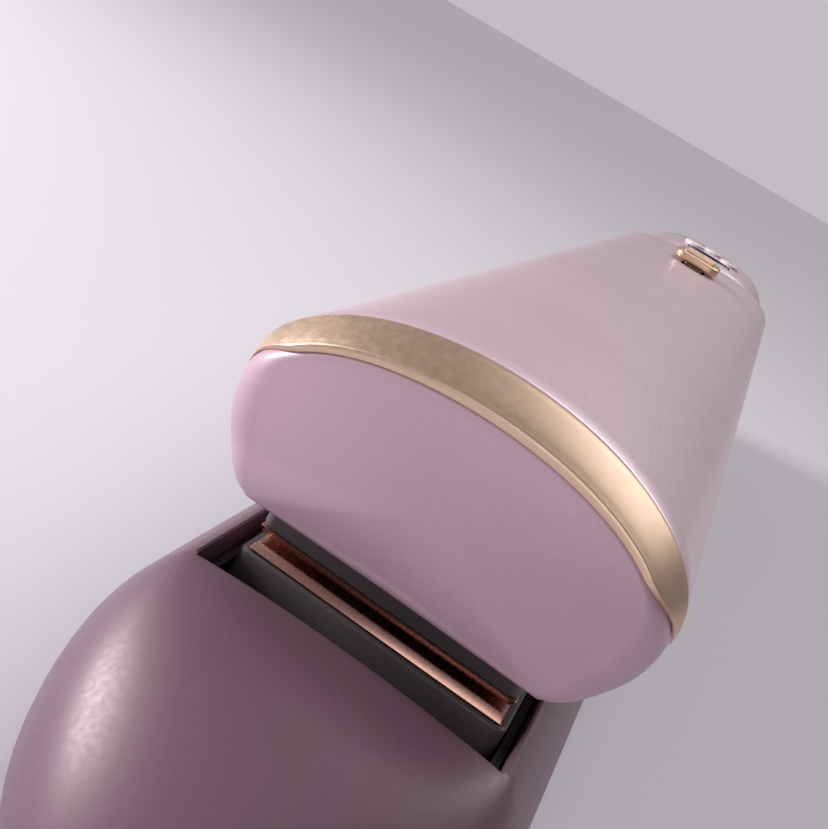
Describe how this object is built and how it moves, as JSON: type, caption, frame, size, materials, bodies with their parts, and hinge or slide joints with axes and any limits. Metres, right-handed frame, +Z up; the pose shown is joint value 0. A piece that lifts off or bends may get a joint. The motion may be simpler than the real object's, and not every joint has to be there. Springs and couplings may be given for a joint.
{
  "type": "clamp hair curler",
  "caption": "Two-arm heated hair curler with a domed nose, a sprung pair of flat heater plates, a hinged upper arm, and a fan that blows cooling air out of slots along the lower arm.",
  "frame": {"origin": "centre of the footprint, on the surface that the curler lies on", "axes": "+Y runs from the domed nose to the cord end, +Z is up through the upper arm, +X is across"},
  "size_m": [0.0422, 0.286, 0.0515],
  "materials": {
    "mauve_shell": "mauve spray-painted ABS, satin",
    "pearl_shell": "pearl pink spray-painted ABS, satin gloss",
    "rose_gold": "champagne rose gold plating, polished",
    "gold_plastic": "champagne metallic-painted ABS",
    "heater_plate": "rose gold ceramic-coated aluminium, polished",
    "grey_carrier": "dark grey glass-filled nylon, moulded",
    "black_moulding": "black nylon, moulded",
    "steel": "plain steel",
    "rubber": "soft dark silicone rubber",
    "ceramic": "off-white fired ceramic",
    "circuit_board": "green solder mask",
    "display_window": "smoked clear plastic window",
    "button_plastic": "pale pink moulded ABS",
    "wire_sleeve": "red silicone sleeve"
  },
  "bodies": {
    "base": {"lower_casing": "mauve_shell", "lower_deck": "black_moulding", "lower_tray": "black_moulding", "lock_keeper": "steel", "rest_pad_front": "rubber", "rest_pad_rear": "rubber", "deck_screw_1": "steel", "deck_screw_2": "steel", "fan_motor": "steel", "motor_mount": "black_moulding", "fan_shroud": "black_moulding", "thermal_fuse": "steel", "lower_lead_live": "wire_sleeve", "lower_lead_neutral": "wire_sleeve", "lower_spring_front": "steel", "lower_spring_rear": "steel", "rear_cover": "pearl_shell", "display_lens": "display_window", "control_board": "circuit_board", "temp_down_switch": "black_moulding", "temp_up_switch": "black_moulding", "power_switch": "black_moulding", "end_bulkhead": "black_moulding", "rear_trim": "rose_gold", "hinge_pin": "steel", "hinge_cap_left": "rose_gold", "hinge_cap_right": "rose_gold", "hinge_spring": "steel"},
    "upper_arm": {"upper_casing": "pearl_shell", "trim_band": "rose_gold", "tip_cap": "mauve_shell", "upper_tray": "black_moulding", "upper_deck": "black_moulding", "upper_deck_screw": "steel", "upper_lead_live": "wire_sleeve", "upper_lead_neutral": "wire_sleeve", "upper_spring_front": "steel", "upper_spring_rear": "steel", "hinge_bracket": "steel"},
    "lower_heater": {"lower_carrier": "grey_carrier", "lower_plate": "heater_plate", "lower_element": "ceramic", "lower_element_clip": "steel", "lower_thermistor": "ceramic"},
    "upper_heater": {"upper_carrier": "grey_carrier", "upper_plate": "heater_plate", "upper_element": "ceramic", "upper_element_clip": "steel", "upper_thermistor": "ceramic"},
    "lock": {"lock_slider": "gold_plastic"},
    "fan": {"fan_impeller": "black_moulding", "motor_shaft": "steel"},
    "power": {"power_button": "button_plastic"},
    "temp_up": {"temp_up_button": "button_plastic"},
    "temp_down": {"temp_down_button": "button_plastic"},
    "filter": {"filter_cap": "pearl_shell", "filter_mesh": "steel"},
    "swivel": {"cord_swivel": "rubber"}
  },
  "joints": [
    {"name": "arm_open", "type": "hinge", "parent": "base", "child": "upper_arm", "pos_m": [0, 0.084, 0.032], "axis": [-1, 0, 0], "range_deg": [0, 13]},
    {"name": "lower_float", "type": "slide", "parent": "base", "child": "lower_heater", "axis": [0, 0, -1], "range_m": [0, 0.0012], "stiffness_N_per_m": 800, "springref_m": -0.004, "deforming": ["lower_spring_front", "lower_spring_rear"]},
    {"name": "upper_float", "type": "slide", "parent": "upper_arm", "child": "upper_heater", "axis": [0, 0, 1], "range_m": [0, 0.0012], "stiffness_N_per_m": 800, "springref_m": -0.004, "deforming": ["upper_spring_front", "upper_spring_rear"]},
    {"name": "lock_slide", "type": "slide", "parent": "upper_arm", "child": "lock", "axis": [0, -1, 0], "range_m": [0, 0.006]},
    {"name": "fan_spin", "type": "hinge", "parent": "base", "child": "fan", "pos_m": [0, 0.11, 0.0155], "axis": [0, 1, 0], "continuous": true},
    {"name": "power_press", "type": "slide", "parent": "base", "child": "power", "axis": [0, 0, -1], "range_m": [0, 0.0008], "stiffness_N_per_m": 500, "springref_m": -0.001},
    {"name": "temp_up_press", "type": "slide", "parent": "base", "child": "temp_up", "axis": [0, 0, -1], "range_m": [0, 0.0008], "stiffness_N_per_m": 500, "springref_m": -0.001},
    {"name": "temp_down_press", "type": "slide", "parent": "base", "child": "temp_down", "axis": [0, 0, -1], "range_m": [0, 0.0008], "stiffness_N_per_m": 500, "springref_m": -0.001},
    {"name": "filter_pull", "type": "slide", "parent": "base", "child": "filter", "axis": [0, 1, 0], "range_m": [0, 0.012]},
    {"name": "swivel_turn", "type": "hinge", "parent": "base", "child": "swivel", "pos_m": [0, 0.13, 0.0245], "axis": [0, 1, 0], "continuous": true}
  ]
}
